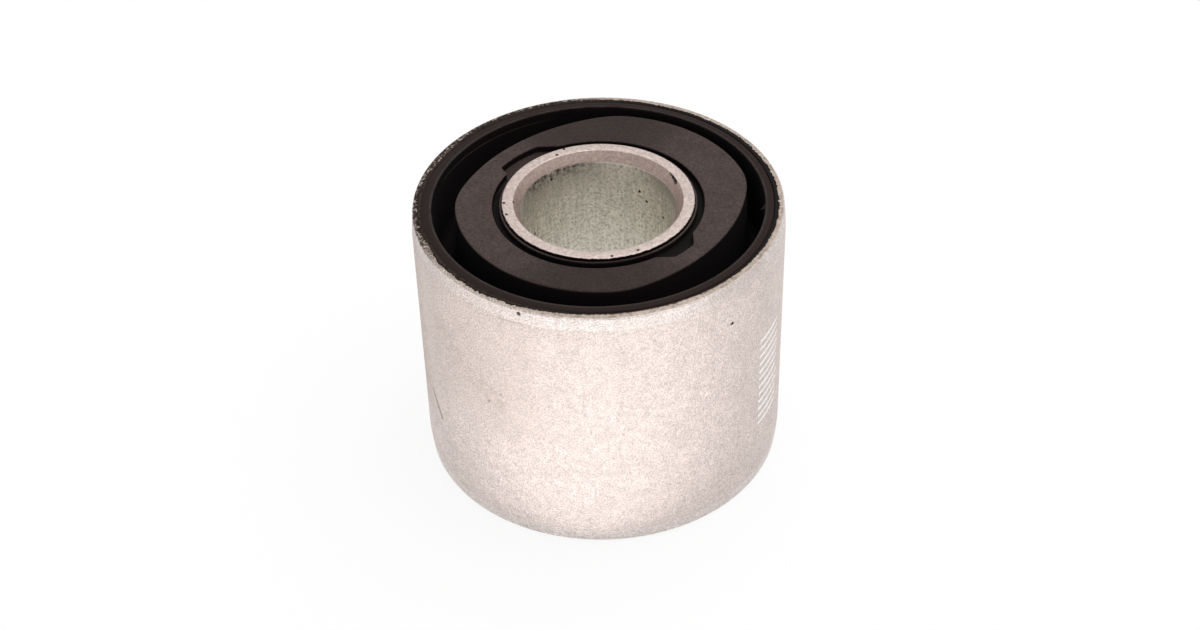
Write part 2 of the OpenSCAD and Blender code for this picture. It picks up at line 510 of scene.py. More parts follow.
# How far the dirt in a pit and in the nick reaches, as a share of their own size
PIT_DIRT = 1.3
NICK_DIRT = 1.45
# Scratches on the sleeve, as (degrees, height, degrees, height, half width, strength)
SLEEVE_SCRATCHES = (
    (246.5, -4.0 * MM, 252.4, -6.3 * MM, 0.38 * MM, 1.0),
    (283, 13.35 * MM, 291.5, 13.45 * MM, 0.13 * MM, 0.6),
)
# Soft brown smears on the sleeve, in the same form
SLEEVE_SMEARS = (
    (258, 7.0 * MM, 279, 2.4 * MM, 4.6 * MM, 0.6),
    (273, 2.8 * MM, 283, 2.0 * MM, 1.7 * MM, 0.7),
    # This smear, down the left side as seen from the camera, is partly painted shade that darkens that side
    (236, 13.0 * MM, 236, -4.0 * MM, 6 * MM, 0.8),
    (350, 14.3 * MM, 12, 14.3 * MM, 1.2 * MM, 0.5),
)

# The side with the most flash reaches this far round from its middle, in degrees, fading out in between
FLASH_INNER = 70
FLASH_OUTER = 108
# Tears in that flash, which bare the rim, as (degrees about the bore, half width in degrees, share torn off)
FLASH_TEARS = ((196, 11, 0.75), (247, 5, 0.6))
# Raggedness of the flash, as (how fine, share of its reach)
FLASH_WAVES = ((20, 0.35), (75, 0.45))
# Middle of the dark flecks on the sleeve's rim, and how far round from it they reach, in degrees
FLECK_SIDE = math.radians(195)
FLECKS_INNER = 45
FLECKS_OUTER = 66


def sleeve_finish(sizes, colours):
    """Matt zinc with a fine grain, a smeared side, browner flecked rims that are partly painted shade, and
    lead-ins lightened as a painted highlight.
    """
    zinc = Shader("matt_zinc_plate")
    break_height = sizes.sleeve_half - sizes.lead_break
    grain = zinc.noise(0.17 * MM, detail=2)
    speckle = zinc.noise(0.4 * MM, detail=4, roughness=0.7)
    mottle = zinc.noise(0.8 * MM, detail=5, roughness=0.7)
    clouds = zinc.noise(3 * MM, detail=5)
    # Painted highlight: the lead-ins take a lighter colour for the bright band below each rim
    lead_in = zinc.span(zinc.height, break_height - 0.1 * MM, break_height + 0.15 * MM)
    base = zinc.mix(lead_in, colours.zinc, colours.clean)
    base = zinc.varied(base, grain, 0.77, 1.1, low=0.36, high=0.62)
    base = zinc.varied(base, speckle, 0.86, 1.0, low=0.28, high=0.46)
    base = zinc.varied(base, mottle, 0.92, 1.06)
    base = zinc.varied(base, clouds, 0.96, 1.03)
    base = zinc.mix(sleeve_film(zinc, sizes, colours, mottle), base, colours.smear)
    # A faint brown line along each lead-in's break
    at_break = zinc.span(zinc.off(zinc.height, break_height), 0.16 * MM, 0.04 * MM)
    rubbed_and_highlit = zinc.all_of(at_break, zinc.span(mottle, 0.42, 0.6), strength=0.22)
    base = zinc.mix(rubbed_and_highlit, base, colours.smear)
    # The rims take that darker, browner colour: partly browner plating, partly painted shade on the crests
    on_rim = zinc.all_of(
        zinc.span(zinc.height, sizes.sleeve_half - 0.1 * MM, sizes.sleeve_half - 0.03 * MM),
        zinc.span(zinc.radius, sizes.crest_end + 0.08 * MM, sizes.crest_end))
    base = zinc.mix(on_rim, base, zinc.varied(colours.rim, speckle, 0.7, 1.25, low=0.35, high=0.6))
    # The inner edge of each crest, next to the rubber, takes the dark brown: partly staining, partly painted
    # shade at the joint
    crest = sizes.crest_start
    stained_and_shaded = zinc.span(zinc.wandering(zinc.radius, speckle, 0.5 * MM), crest + 0.28 * MM, crest + 0.16 * MM)
    base = zinc.mix(zinc.all_of(on_rim, stained_and_shaded), base, colours.stain_and_joint_shade)
    depth = zinc.math("SUBTRACT", sizes.sleeve_radius, zinc.radius)
    in_land = zinc.span(zinc.height, sizes.land_half, sizes.land_half - 0.2 * MM)
    stamped = zinc.all_of(in_land, zinc.span(depth, 0.01 * MM, 0.03 * MM))
    base = zinc.mix(stamped, base, colours.fresh)
    base = zinc.mix(rim_flecks(zinc, sizes), base, colours.fleck)
    base = zinc.mix(sleeve_dirt(zinc, sizes), base, colours.grime)
    rough = zinc.span(grain, NOISE_LOW, NOISE_HIGH, 0.5, 0.6)
    rough = zinc.math("SUBTRACT", rough, zinc.math("MULTIPLY", lead_in, 0.12))
    zinc.set(Base_Color=base, Metallic=1.0, Roughness=rough)
    relief = zinc.math("ADD", grain, zinc.math("MULTIPLY", speckle, 0.4))
    zinc.bump(relief, distance=0.12 * MM, strength=0.9)
    return zinc.material


def sleeve_film(zinc, sizes, colours, mottle):
    """Brown film: a thin haze on the smeared side, runs below the flash, soft smears, one of them partly
    painted shade, and scratches.
    """
    smeared = zinc.towards(colours.smeared_side, 8, 36)
    upper = zinc.span(zinc.z, -7 * MM, 4 * MM)
    haze = zinc.all_of(smeared, upper, zinc.span(mottle, 0.3, 0.6), strength=0.36)
    flashed = zinc.towards(colours.flash_side, FLASH_INNER, FLASH_OUTER)
    streaks = zinc.noise(0.7 * MM, detail=4, stretch=(1, 1, 7))
    below_rim = zinc.span(zinc.z, 4 * MM, 11 * MM)
    runs = zinc.all_of(flashed, below_rim, zinc.span(streaks, 0.42, 0.7), strength=0.3)
    blotches = zinc.span(mottle, 0.36, 0.62, to_low=0.2)
    film = [haze, runs]

    def from_mark(turn, height, end_turn, end_height):
        start = on_wall(sizes.sleeve_radius, turn, height)
        return zinc.from_line(start, on_wall(sizes.sleeve_radius, end_turn, end_height))

    for *ends, size, strength in SLEEVE_SMEARS:
        film.append(zinc.all_of(zinc.span(from_mark(*ends), size, 0), blotches, strength=strength))
    for *ends, size, strength in SLEEVE_SCRATCHES:
        film.append(zinc.all_of(zinc.ragged_within(from_mark(*ends), size), strength=strength))
    return zinc.any_of(*film)


def rim_flecks(zinc, sizes):
    """Flecks of brown rubber that hang over the upper rim on the flashed side."""
    flecks = zinc.noise(0.36 * MM, detail=4, roughness=0.75)
    at_rim = zinc.span(zinc.z, sizes.sleeve_half - 0.5 * MM, sizes.sleeve_half, -0.18, 0.08)
    flecked = zinc.towards(FLECK_SIDE, FLECKS_INNER, FLECKS_OUTER)
    return zinc.all_of(flecked, zinc.span(zinc.math("ADD", flecks, at_rim), 0.48, 0.56))


def sleeve_dirt(zinc, sizes):
    """Dirt in the pits, and fainter specks of it."""
    dirt = []
    for turn, height, drop in SLEEVE_PITS:
        dirt.append(zinc.spot(on_wall(sizes.sleeve_radius - drop, turn, height), PIT_DIRT * sizes.pit_radius))
    for turn, height in SLEEVE_SPECKS:
        speck = zinc.spot(on_wall(sizes.sleeve_radius, turn, height), SLEEVE_SPECK_SIZE)
        dirt.append(zinc.all_of(speck, strength=SLEEVE_SPECK_STRENGTH))
    return zinc.any_of(*dirt)


def rubber_finish(sizes, colours):
    """Matt moulded rubber with a flat brown bloom on the core's faces, painted shade in the voids and the
    lip's groove, and a lip whose inner edge is lighter: partly worn, partly a painted highlight.
    """
    rubber = Shader("moulded_rubber")
    height = rubber.height
    grain = rubber.noise(0.18 * MM, detail=4)
    clouds = rubber.noise(2.5 * MM, detail=5)
    face = sizes.face_height
    lip = sizes.lip_radius
    on_face = rubber.span(height, face - 0.16 * MM, face - 0.02 * MM)
    on_core = rubber.all_of(on_face, rubber.span(rubber.radius, lip - 0.5 * MM, lip - 0.9 * MM))
    # The bloom is made stronger towards both ends of one line across the faces, so the faces are lighter
    # there
    both_ways = [rubber.towards(colours.bloom_axis + way, 15, 80) for way in (0, math.pi)]
    strength = rubber.span(rubber.any_of(*both_ways), 0, 1, to_low=0.2)
    bloom = rubber.all_of(strength, rubber.span(clouds, NOISE_LOW, NOISE_HIGH, to_low=0.65))
    base = rubber.mix(bloom, colours.face, colours.bloom)
    step = sizes.recess_radius
    notch_floor = rubber.all_of(
        rubber.span(rubber.off(height, face - sizes.recess_depth), 0.1 * MM, 0.04 * MM),
        rubber.span(rubber.radius, step - 0.3 * MM, step + 0.1 * MM),
        rubber.towards(math.pi, 20, 32), strength=0.8)
    # Painted shade: all rubber off the core's faces and the wide notch's floor takes the dark void colour
    base = rubber.mix(rubber.any_of(on_core, notch_floor), colours.rubber, base)
    on_top = rubber.span(height, sizes.sleeve_half - 0.12 * MM, sizes.sleeve_half - 0.03 * MM)
    on_lip = rubber.all_of(on_top, rubber.span(rubber.radius, lip - 0.9 * MM, lip - 0.6 * MM))
    base = rubber.mix(on_lip, base, colours.lip)
    # The lip's inner edge takes that lighter colour: partly worn rubber, partly a painted highlight
    rubbed_and_highlit = rubber.span(rubber.radius, lip + 0.34 * MM, lip + 0.14 * MM)
    rubbed_and_highlit = rubber.all_of(on_lip, rubbed_and_highlit, rubber.span(clouds, 0.3, 0.55))
    base = rubber.mix(rubbed_and_highlit, base, colours.rubbed_and_highlit)
    rim = sizes.crest_start
    # Painted shade: the groove between the lip and the rim takes the dark void colour
    base = rubber.mix(rubber.span(rubber.radius, rim - sizes.lip_groove, rim), base, colours.rubber)
    on_flash = rubber.all_of(
        rubber.towards(colours.flash_side, FLASH_INNER, FLASH_OUTER),
        rubber.span(rubber.noise(0.6 * MM, detail=3), 0.35, 0.6),
        rubber.span(rubber.radius, rim - 0.1 * MM, rim))
    base = rubber.mix(on_flash, base, colours.flash)
    # Where the flash thins at its ragged edge it takes the dark void colour: partly staining, partly painted
    # shade along that edge
    over_crest = rubber.math("SUBTRACT", height, sizes.sleeve_half)
    thin_edge_stain_and_shade = rubber.span(over_crest, sizes.flash_skin, 0.5 * sizes.flash_skin)
    base = rubber.mix(rubber.all_of(on_flash, thin_edge_stain_and_shade), base, colours.rubber)
    base = rubber.varied(base, grain, 0.65, 1.35)
    rough = rubber.span(grain, NOISE_LOW, NOISE_HIGH, 0.6, 0.74)
    in_void = rubber.span(height, face - 0.4 * MM, face - 1.2 * MM)
    rough = rubber.math("ADD", rough, rubber.math("MULTIPLY", in_void, 0.24))
    rubber.set(Base_Color=base, Roughness=rough, Specular_IOR_Level=0.12)
    rubber.bump(rubber.math("ADD", grain, clouds), distance=0.03 * MM, strength=0.5)
    return rubber.material


# Dirt specks on the tube, as (radius, degrees about the bore, height)
TUBE_SPECKS = (
    (8 * MM, 172.2, 13.26 * MM), (8 * MM, 193.3, 7.75 * MM), (8 * MM, 101.4, 11.16 * MM),
    (8 * MM, 95.0, 10.19 * MM), (8 * MM, 76.4, 9.48 * MM), (9.67 * MM, 226.2, 15.2 * MM),
    (9.62 * MM, 238.1, 15.2 * MM), (8.7 * MM, 225.2, 15.1 * MM), (9.72 * MM, 155.9, 15.2 * MM),
    (9.06 * MM, 162.7, 15.2 * MM), (9.47 * MM, 338.7, 15.2 * MM), (9.6 * MM, 322.2, 15.2 * MM),
)
TUBE_SPECK_SIZE = 0.2 * MM
# Thin and deep ends of the nick along the mouth's edge, as (radius, degrees, height, size)
NICK_ENDS = ((8.7 * MM, 74.6, 15.12 * MM, 0.1 * MM), (8.59 * MM, 64.8, 14.96 * MM, 0.2 * MM))
NICK_DENTS = 6
MOUTH_NICK = [[thin + (deep - thin) * dent / (NICK_DENTS - 1) for thin, deep in zip(*NICK_ENDS)]
              for dent in range(NICK_DENTS)]
# Middle of the bore's smudged side, and of the darker band on the other side
BORE_SMUDGE = math.radians(172)
BORE_BAND = math.radians(45)


def tube_finish(sizes, colours):
    """Plated steel, pinkish on the ends and greener in the bore, painted lighter deeper in the bore, with
    dirt and black outer edges that are partly rubber left on them, partly painted shade.
    """
    steel = Shader("plated_tube")
    grain = steel.noise(0.26 * MM, detail=3, roughness=0.6)
    speckle = steel.noise(0.42 * MM, detail=5, roughness=0.7)
    scores = steel.noise(0.4 * MM, stretch=(1, 1, 9))
    in_bore = steel.span(steel.radius, sizes.bore_radius + 0.06 * MM, sizes.bore_radius + 0.01 * MM)
    mouth_edge = sizes.bore_radius + sizes.mouth_width
    in_mouth = steel.span(steel.radius, mouth_edge, mouth_edge - 0.06 * MM)
    base = steel.mix(in_mouth, colours.tube_end, colours.mouth)
    # Painted light: the bore is lighter deeper in and darker towards the mouths
    near_mouth = steel.span(steel.height, sizes.bore_half - 11 * MM, sizes.bore_half - 1 * MM)
    base = steel.mix(in_bore, base, steel.mix(near_mouth, colours.bore, colours.bore_shaded_near_mouths))
    base = steel.varied(base, speckle, 0.84, 1.05, high=0.65)
    base = steel.varied(base, grain, 0.82, 1.14)
    scored = steel.all_of(in_bore, steel.span(scores, 0.38, 0.62))
    base = steel.varied(base, scored, 1.06, 0.92, low=0, high=1)
    grit = steel.all_of(in_bore, steel.span(grain, 0.5, 0.28))
    base = steel.varied(base, grit, 1.04, 0.77, low=0, high=1)
    film = steel.all_of(in_bore, bore_film(steel, sizes, speckle))
    base = steel.mix(film, base, colours.mouth_dirt)
    base = steel.mix(tube_dirt(steel, sizes, speckle, in_bore), base, colours.grime)
    # The tube's outer edges take the dark void rubber colour: partly rubber left on them, partly painted
    # shade in the step round the tube
    outside = steel.wandering(steel.radius, speckle, 0.3 * MM)
    outside = steel.span(outside, sizes.tube_radius - 0.17 * MM, sizes.tube_radius - 0.07 * MM)
    base = steel.mix(outside, base, colours.rubber)
    rough = steel.span(grain, NOISE_LOW, NOISE_HIGH, 0.42, 0.54)
    steel.set(Base_Color=base, Metallic=1.0, Roughness=rough)
    relief = steel.math("ADD", grain, steel.math("MULTIPLY", scores, 0.6))
    steel.bump(relief, distance=0.02 * MM, strength=0.45)
    return steel.material


def bore_film(steel, sizes, speckle):
    """Film in the bore: a soft dirty patch below the mouth on one side, a narrow darker band on the other."""
    mouth = sizes.bore_half
    patch = steel.span(steel.height, mouth - 5 * MM, mouth - 0.5 * MM)
    patch = steel.all_of(steel.towards(BORE_SMUDGE, 15, 62), patch, strength=0.6)
    band = steel.span(steel.height, mouth - 2.2 * MM, mouth - 0.6 * MM)
    band = steel.all_of(steel.towards(BORE_BAND, 25, 65), band, strength=0.7)
    return steel.all_of(steel.any_of(patch, band), steel.span(speckle, 0.35, 0.65, to_low=0.4))


def tube_dirt(steel, sizes, speckle, in_bore):
    """Dark smudge at the edge of the mouth, specks, and the dirt in the nick."""
    at_edge = steel.span(steel.off(steel.height, sizes.bore_half), 0.24 * MM, 0.05 * MM)
    brink = steel.all_of(at_edge, steel.span(speckle, 0.33, 0.58), strength=0.9)
    below = steel.span(steel.height, sizes.bore_half - 1.8 * MM, sizes.bore_half)
    smudge = steel.all_of(in_bore, below, steel.span(speckle, 0.42, 0.6), strength=0.75)
    dirt = [steel.all_of(steel.towards(BORE_SMUDGE, 12, 42), steel.any_of(brink, smudge))]
    dirt += [steel.spot(on_wall(*place), TUBE_SPECK_SIZE) for place in TUBE_SPECKS]
    dirt += [steel.spot(on_wall(*place), NICK_DIRT * size) for *place, size in MOUTH_NICK]
    return steel.any_of(*dirt)


# Pieces

# Angles, in radians, at which a rounded edge has its points
QUARTER = [math.radians(22.5 * step) for step in range(5)]
# Largest share of a void's width that the corner at its floor takes
BEND_SHARE = 0.42


def smooth_min(first, second, blend):
    """The smaller of two values, eased where they are close."""
    near = max(blend - abs(first - second), 0) / blend
    return min(first, second) - near * near * blend / 4


def smooth_max(first, second, blend):
    return -smooth_min(-first, -second, blend)


def circle_from_axis(turn, centre_x, centre_y, radius):
    """Distance from the bore's axis to an off-centre circle, at an angle about the bore."""
    along = centre_x * math.cos(turn) + centre_y * math.sin(turn)
    across = centre_x * math.sin(turn) - centre_y * math.cos(turn)
    return along + math.sqrt(radius * radius - across * across)


class BUSHING_OT_outer_sleeve(bpy.types.Operator):
    """Spin the sleeve's wall, stamp plain strokes in it and pit its plating"""

    bl_idname = "bushing.outer_sleeve"
    bl_label = "Outer sleeve"

    def execute(self, context):
        sizes = context.scene.bushing_sizes
        colours = context.scene.bushing_colours
        top = sizes.sleeve_half
        outline = rounded(both_ends([
            (sizes.bond_radius, top - sizes.rim_bevel, 0),
            (sizes.crest_start, top, 0),
            (sizes.sleeve_radius - sizes.lead_drop, top, sizes.rim_radius),
            (sizes.sleeve_radius - sizes.break_drop, top - sizes.lead_break, sizes.lead_round),
            (sizes.sleeve_radius, sizes.land_half, sizes.land_round),
        ]), segments=8)
        sleeve = spun("outer_sleeve_plated", outline, steps=360)
        cut(sleeve, self.strokes(sizes, colours))
        for turn, height, drop in SLEEVE_PITS:
            cut(sleeve, pit_cutter(on_wall(sizes.sleeve_radius - drop, turn, height), sizes.pit_radius))
        finish_piece(sleeve, "outer_sleeve", sleeve_finish(sizes, colours))
        return {"FINISHED"}

    def strokes(self, sizes, colours):
        """A column of plain grooves with a flat bottom and sloping sides, one below the other."""
        half = sizes.stroke_width / 2
        depth = sizes.stroke_depth
        bottom = sizes.sleeve_radius - depth
        over = sizes.sleeve_radius + depth
        outline = [
            (bottom, sizes.stroke_top + half - depth),
            (over, sizes.stroke_top + half + depth),
            (over, sizes.stroke_top - half - depth),
            (bottom, sizes.stroke_top - half + depth),
        ]
        start = colours.strokes_at + sizes.stroke_sweep / 2
        cutter = spun("stroke_cutter", outline, steps=8, start=start, sweep=sizes.stroke_sweep)
        select_only(cutter)
        bpy.ops.object.mode_set(mode="EDIT")
        bpy.ops.mesh.select_all(action="SELECT")
        for _ in range(sizes.stroke_count - 1):
            bpy.ops.mesh.duplicate_move(TRANSFORM_OT_translate={"value": (0, 0, -sizes.stroke_pitch)})
        bpy.ops.object.mode_set(mode="OBJECT")
        return cutter


class BUSHING_OT_rubber_body(bpy.types.Operator):
    """Extrude the moulded rubber ring by ring, from the sleeve's wall to the tube's"""

    bl_idname = "bushing.rubber_body"
    bl_label = "Rubber body"

    def execute(self, context):
        self.sizes = context.scene.bushing_sizes
        self.colours = context.scene.bushing_colours
        self.lip = self.sizes.lip_radius
        self.floor = self.sizes.sleeve_half - self.sizes.void_depth
        self.face = self.sizes.face_height
        rows = self.lip_rows() + self.void_rows() + self.core_rows() + self.recess_rows()
        rubber = ringed("rubber_body_moulded", rows, steps=720)
        apply_modifier(rubber, "MIRROR", use_axis=(False, False, True), merge_threshold=WELD)
        select_only(rubber)
        bpy.ops.object.mode_set(mode="EDIT")
        tidy_shell()
        finish_piece(rubber, "rubber_body", rubber_finish(self.sizes, self.colours))
        return {"FINISHED"}

    def core_outline(self, turn):
        """Two round ends, shifted towards +Y, cut by two crowned flanks and rubbed round at the corners."""
        sizes = self.sizes
        turn = turn - sizes.core_turn
        shift = (sizes.wide_gap - sizes.narrow_gap) / 2
        radius = circle_from_axis(turn, 0, shift, self.lip - (sizes.wide_gap + sizes.narrow_gap) / 2)
        flank_centre = sizes.flank_radius - (self.lip - sizes.flank_gap)
        for side in (-1, 1):
            flank = circle_from_axis(turn, side * flank_centre, 0, sizes.flank_radius)
            radius = smooth_min(radius, flank, sizes.core_corner)
        return radius

    def recess_outline(self, turn):
        """The step round the tube, with a notch on each side that widens towards the tube."""
        sizes = self.sizes
        recess = sizes.recess_radius
        notch = recess + sizes.notch_reach
        along = abs(math.cos(turn))
        aside = abs(math.sin(turn))
        if aside > along:
            return recess
        narrow = math.cos(turn) > 0
        half = (sizes.narrow_notch if narrow else sizes.wide_notch) / 2
        slope = math.tan(sizes.notch_splay if narrow or math.sin(turn) > 0 else sizes.steep_splay)
        splayed_side = (half + notch * slope) / (aside + along * slope)
        return smooth_max(recess, smooth_min(notch, splayed_side, sizes.notch_corner), sizes.notch_corner)

    def flashed(self, turn):
        """1 on the side with the most flash, 0 on the other side."""
        facing = math.cos(turn - self.colours.flash_side)
        inner = math.cos(math.radians(FLASH_INNER))
        outer = math.cos(math.radians(FLASH_OUTER))
        return min(max((facing - outer) / (inner - outer), 0), 1)

    def flash(self, turn):
        """How far the ragged skin of rubber reaches out over the rim."""
        share = self.flashed(turn)
        thin = self.sizes.thin_flash * max(math.cos(turn - self.colours.thin_side), 0)
        spot = Vector((math.cos(turn), math.sin(turn), 0))
        ragged = 1 + sum(share_of_reach * noise.noise(spot * fine) for fine, share_of_reach in FLASH_WAVES)
        for middle, half, torn in FLASH_TEARS:
            away = math.remainder(turn - math.radians(middle), math.tau) / math.radians(half)
            ragged *= 1 - torn * math.exp(-away * away)
        return max((share * self.sizes.flash_reach + (1 - share) * thin) * ragged, self.sizes.flash_skin)

    def tag(self, turn, lean=0.0):
        """How far a torn tag stands in from the lip's edge, with its peak moved by a lean."""
        away = (turn - self.colours.tag_at + lean) / self.sizes.tag_spread
        return self.sizes.tag_reach * math.exp(-away * away)

    def rim_height(self, radius):
        """Height of the rim's crest and rolled corner at a radius."""
        corner = self.sizes.rim_radius
        out = min(max(radius - self.sizes.crest_end, 0), corner)
        return self.sizes.sleeve_half - corner + math.sqrt(corner ** 2 - out ** 2)

    def lip_rows(self):
        """Bonded outer wall, bevel inside the rim, flash over it, groove, and the lip with its edge."""
        sizes = self.sizes
        wall = sizes.bond_radius
        rim = sizes.crest_start
        top = sizes.sleeve_half
        film = sizes.flash_skin
        groove = rim - sizes.lip_groove
        edge = sizes.lip_edge

        def skin(share, lift):
            """A row of the flash, a share of the way to its ragged edge, where it thins."""
            def row(turn):
                radius = rim + share * self.flash(turn)
                return radius, self.rim_height(radius) + lift
            return row

        def groove_floor(turn):
            return top - sizes.groove_depth * (1 - self.flashed(turn))

        crest = top + sizes.lip_lift
        tip_lean = sizes.tag_lean
        rows = [ring(wall, 0), ring(wall, top - sizes.rim_bevel), ring(rim - film, top - film)]
        rows += [skin(1.0, -film), skin(1.0, 0.3 * film), skin(0.55, film), skin(0.3, film)]
        rows += [ring(rim - film, top), ring((rim + groove) / 2, groove_floor), ring(groove, top)]
        rows += [ring(groove - edge, crest)]
        rows += [ring(self.lip + edge * (1 - math.sin(a)), crest - edge * (1 - math.cos(a)))
                 for a in QUARTER[:3]]
        rows += [ring(lambda turn: self.lip - self.tag(turn) / 2,
                      lambda turn: top - edge - self.tag(turn) / 4)]
        rows += [ring(lambda turn: self.lip - self.tag(turn, tip_lean),
                      lambda turn: top - 1.5 * edge - self.tag(turn, tip_lean) / 2)]
        rows += [ring(self.lip, top - 2 * edge)]
        return rows

    def draft(self):
        """How far the void's walls lean in from the lip or the core's edge to the floor."""
        return math.tan(DRAFT) * self.sizes.void_depth

    def bend(self, turn):
        """Corner radius at the void's floor, smaller where the void is narrow."""
        gap = self.lip - self.core_outline(turn) - 2 * self.draft()
        return min(self.sizes.void_corner, BEND_SHARE * gap)

    def void_rows(self):
        """Drafted lining wall, rounded corner and floor of the void."""
        foot = self.lip - self.draft()
        return [ring(lambda turn, a=a: foot - self.bend(turn) * (1 - math.cos(a)),
                     lambda turn, a=a: self.floor + self.bend(turn) * (1 - math.sin(a))) for a in QUARTER]

    def core_rows(self):
        """The core's foot, drafted wall, rounded top edge and end face."""
        edge = self.sizes.rubber_edge

        def across(share):
            """A row of the end face, a share of the way from the core's edge to the step."""
            def radius(turn):
                outer = self.core_outline(turn) - 3 * edge
                inner = self.recess_outline(turn) + 2 * edge
                return outer + (inner - outer) * share
            return ring(radius, self.face)

        def foot(turn):
            return self.core_outline(turn) + self.draft()

        rows = [ring(lambda turn, a=a: foot(turn) + self.bend(turn) * (1 - math.sin(a)),
                     lambda turn, a=a: self.floor + self.bend(turn) * (1 - math.cos(a))) for a in QUARTER]
        rows += [ring(lambda turn, a=a: self.core_outline(turn) - edge * (1 - math.cos(a)),
                      self.face - edge * (1 - math.sin(a))) for a in QUARTER]
        rows += [across(share) for share in (0, 0.33, 0.67, 1)]
        return rows

    def recess_rows(self):
        """The step round the tube, its floor, the skin on the tube and the wall that is bonded to it."""
        sizes = self.sizes
        edge = sizes.recess_edge
        floor = self.face - sizes.recess_depth
        tube = sizes.tube_radius
        skin = tube + sizes.tube_skin
        skin_top = sizes.tube_half - sizes.skin_drop
        rows = [ring(lambda turn, a=a: self.recess_outline(turn) + edge * (1 - math.sin(a)),
                     self.face - edge * (1 - math.cos(a))) for a in QUARTER]
        rows += [ring(self.recess_outline, floor + edge)]
        rows += [ring(lambda turn: self.recess_outline(turn) - edge, floor)]
        rows += [ring(skin + edge, floor), ring(skin, floor + edge), ring(skin, skin_top - edge / 2)]
        rows += [ring(skin - edge / 2, skin_top), ring(tube, skin_top), ring(tube, 0)]
        return rows


class BUSHING_OT_inner_tube(bpy.types.Operator):
    """Spin the tube's wall, with bevelled mouths, and nick one of them"""

    bl_idname = "bushing.inner_tube"
    bl_label = "Inner tube"

    def execute(self, context):
        sizes = context.scene.bushing_sizes
        colours = context.scene.bushing_colours
        outline = rounded(both_ends([
            (sizes.bore_radius, sizes.bore_half, sizes.bore_round),
            (sizes.bore_radius + sizes.mouth_width, sizes.tube_half, sizes.mouth_round),
            (sizes.tube_radius, sizes.tube_half, sizes.tube_edge),
        ]))
        tube = spun("inner_tube_plated", outline, steps=256)
        for radius, turn, height, size in MOUTH_NICK:
            cut(tube, pit_cutter(on_wall(radius, turn, height), size))
        finish_piece(tube, "inner_tube", tube_finish(sizes, colours))
        return {"FINISHED"}


# Stage

# The photo's camera: width and focal length in pixels, its place round the part, and what it looks at
PHOTO_WIDTH = 1200
PHOTO_FOCAL = 2112
SENSOR = 36.0
CAMERA_DISTANCE = 226.2 * MM
CAMERA_ELEVATION = math.radians(39.55)
CAMERA_AZIMUTH = math.radians(-45)
CAMERA_ROLL = math.radians(-1.55)
CAMERA_AIM_RIGHT = -0.137 * MM
CAMERA_AIM_UP = -0.195 * MM

# Light level of the room, and how high its white horizon reaches, as the sine of an elevation
ROOM_LEVEL = 0.6
HORIZON_TOP = 0.24
# Share of the floor's look that is plain white; the rest shows light and shadow
FLOOR_GLOW = 0.88
# The lamp on the floor before the part: its place, size and radiance
GLOW_DISTANCE = 0.061
GLOW_AZIMUTH = math.radians(-52)
GLOW_LIFT = 0.0002
GLOW_SIZE = (0.08, 0.2)
GLOW_RADIANCE = 1.08


def direction_of(azimuth, elevation):
    """The way to a point at an azimuth about the bore and an elevation."""
    level = math.cos(elevation)
    return Vector((level * math.cos(azimuth), level * math.sin(azimuth), math.sin(elevation)))


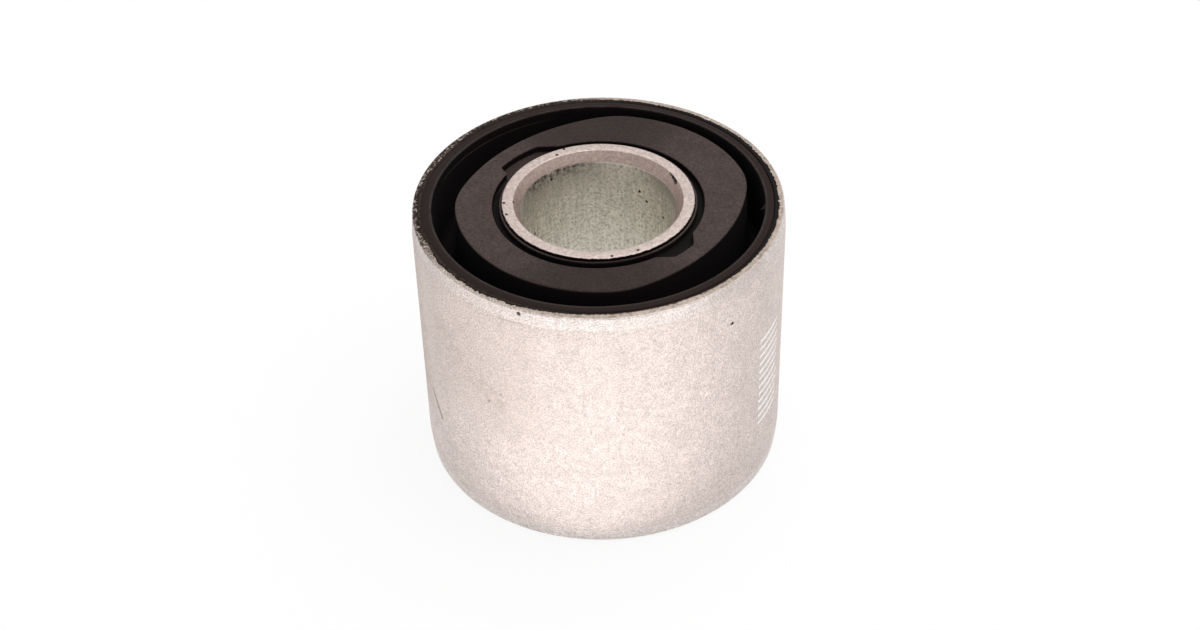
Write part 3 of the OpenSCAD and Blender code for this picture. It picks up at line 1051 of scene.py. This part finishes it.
class BUSHING_OT_stage(bpy.types.Operator):
    """Add the floor, the soft lamps, the world and the camera"""

    bl_idname = "bushing.stage"
    bl_label = "Stage"

    def execute(self, context):
        scene = context.scene
        scene.view_settings.view_transform = "Standard"
        self.floor(scene)
        self.world(scene)
        self.lamp("overhead", azimuth=60, elevation=75, distance=0.6, size=(0.5, 0.5), radiance=2.8)
        self.lamp("backdrop", azimuth=135, elevation=40, distance=0.6, size=(0.5, 0.5), radiance=0.35)
        self.front_glow(scene)
        self.camera(scene)
        return {"FINISHED"}

    def floor(self, scene):
        deselect()
        bpy.ops.mesh.primitive_circle_add(
            vertices=96, radius=3, fill_type="NGON", location=(0, 0, -scene.bushing_sizes.tube_half))
        floor = bpy.context.object
        floor.name = "floor"
        bpy.ops.object.transform_apply(location=True)
        pale = Shader("pale_floor")
        pale.set(Base_Color=scene.bushing_colours.floor, Roughness=0.9, Specular_IOR_Level=0.1)
        glow = pale.add("ShaderNodeEmission", {"Strength": 1.0})
        path = pale.add("ShaderNodeLightPath").outputs
        seen = pale.any_of(path["Is Camera Ray"], path["Is Glossy Ray"], path["Is Transmission Ray"])
        share = pale.math("MULTIPLY", seen, FLOOR_GLOW)
        blend = pale.add("ShaderNodeMixShader", {0: share, 1: pale.surface.outputs[0], 2: glow.outputs[0]})
        pale.links.new(blend.outputs[0], pale.nodes["Material Output"].inputs["Surface"])
        floor.data.materials.append(pale.material)

    def world(self, scene):
        """A soft grey room with a white band at the horizon."""
        world = bpy.data.worlds.new("studio")
        scene.world = world
        world.use_nodes = True
        tree = world.node_tree
        direction = tree.nodes.new("ShaderNodeTexCoord").outputs["Generated"]
        parts = tree.nodes.new("ShaderNodeSeparateXYZ")
        tree.links.new(direction, parts.inputs[0])
        level = tree.nodes.new("ShaderNodeMapRange")
        stretch = {"From Min": HORIZON_TOP / 2, "From Max": HORIZON_TOP, "To Min": 1, "To Max": ROOM_LEVEL}
        for key, value in stretch.items():
            level.inputs[key].default_value = value
        tree.links.new(parts.outputs["Z"], level.inputs["Value"])
        tree.links.new(level.outputs["Result"], tree.nodes["Background"].inputs["Strength"])
        tree.nodes["Background"].inputs["Color"].default_value = (1, 1, 1, 1)

    def lamp(self, name, azimuth, elevation, distance, size, radiance):
        """A soft lamp that looks at the part from a direction given in degrees."""
        back = direction_of(math.radians(azimuth), math.radians(elevation))
        self.add_lamp(name, back * distance, back, size, radiance)

    def front_glow(self, scene):
        """A lamp laid on the floor before the part, which lights the sleeve as a white table does."""
        ahead = direction_of(GLOW_AZIMUTH, 0) * GLOW_DISTANCE
        place = ahead + Vector((0, 0, GLOW_LIFT - scene.bushing_sizes.tube_half))
        self.add_lamp("front_glow", place, Vector((0, 0, -1)), GLOW_SIZE, GLOW_RADIANCE, turn=GLOW_AZIMUTH)

    def add_lamp(self, name, place, back, size, radiance, turn=0.0):
        deselect()
        bpy.ops.object.light_add(type="AREA", location=place)
        lamp = bpy.context.object
        lamp.name = name
        look = Quaternion((0, 0, 1), turn) @ back.to_track_quat("Z", "Y")
        lamp.rotation_euler = look.to_euler()
        lamp.data.shape = "RECTANGLE"
        lamp.data.size, lamp.data.size_y = size
        lamp.data.energy = radiance * math.pi * size[0] * size[1]
        lamp.visible_camera = False

    def camera(self, scene):
        turn = CAMERA_AZIMUTH
        right = Vector((-math.sin(turn), math.cos(turn), 0))
        back = direction_of(turn, CAMERA_ELEVATION)
        aim = right * CAMERA_AIM_RIGHT + Vector((0, 0, CAMERA_AIM_UP))
        deselect()
        bpy.ops.object.camera_add(location=aim + back * CAMERA_DISTANCE)
        camera = bpy.context.object
        look = back.to_track_quat("Z", "Y")
        camera.rotation_euler = (look @ Quaternion((0, 0, 1), CAMERA_ROLL)).to_euler()
        camera.data.sensor_width = SENSOR
        camera.data.lens = SENSOR * PHOTO_FOCAL / PHOTO_WIDTH
        camera.data.clip_start = 0.01
        scene.camera = camera


class BUSHING_PT_panel(bpy.types.Panel):
    """The bushing's operators and sizes"""

    bl_idname = "BUSHING_PT_panel"
    bl_label = "Control Arm Bushing"
    bl_space_type = "VIEW_3D"
    bl_region_type = "UI"
    bl_category = "Bushing"

    def draw(self, context):
        for step in STEPS:
            self.layout.operator(step.bl_idname)
        for group in (context.scene.bushing_sizes, context.scene.bushing_colours):
            column = self.layout.column()
            for name in group.__annotations__:
                column.prop(group, name)


STEPS = (BUSHING_OT_outer_sleeve, BUSHING_OT_rubber_body, BUSHING_OT_inner_tube, BUSHING_OT_stage)
CLASSES = (BushingSizes, BushingColours, *STEPS, BUSHING_PT_panel)


def register():
    for entry in CLASSES:
        bpy.utils.register_class(entry)
    bpy.types.Scene.bushing_sizes = bpy.props.PointerProperty(type=BushingSizes)
    bpy.types.Scene.bushing_colours = bpy.props.PointerProperty(type=BushingColours)


def unregister():
    del bpy.types.Scene.bushing_colours
    del bpy.types.Scene.bushing_sizes
    for entry in reversed(CLASSES):
        bpy.utils.unregister_class(entry)


def main():
    register()
    bpy.ops.bushing.outer_sleeve()
    bpy.ops.bushing.rubber_body()
    bpy.ops.bushing.inner_tube()
    bpy.ops.bushing.stage()


if __name__ == "__main__":
    main()
